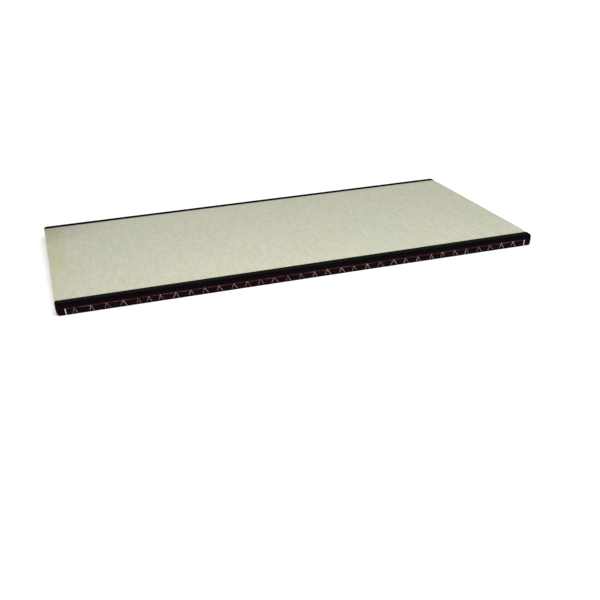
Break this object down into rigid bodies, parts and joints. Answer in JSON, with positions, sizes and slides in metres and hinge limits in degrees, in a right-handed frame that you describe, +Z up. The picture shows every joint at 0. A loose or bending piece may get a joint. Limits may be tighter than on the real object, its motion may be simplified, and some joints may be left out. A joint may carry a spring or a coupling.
{
  "type": "tatami mat",
  "caption": "Firm rectangular floor mat with a ribbed woven rush cover and dark cloth binding sewn round its two long edges.",
  "frame": {"origin": "middle of the flat underside, on the floor", "axes": "+X along the mat, +Y across it from one bound edge to the other, +Z up through its thickness"},
  "size_m": [2, 1, 0.0515],
  "materials": {
    "rush_cover": "matt, dry woven rush",
    "binding_tape": "matt, plain woven cloth tape",
    "sewing_thread": "waxed cotton thread"
  },
  "bodies": {
    "root": {"mat_body": "rush_cover", "binding_near": "binding_tape", "binding_far": "binding_tape"}
  },
  "joints": []
}
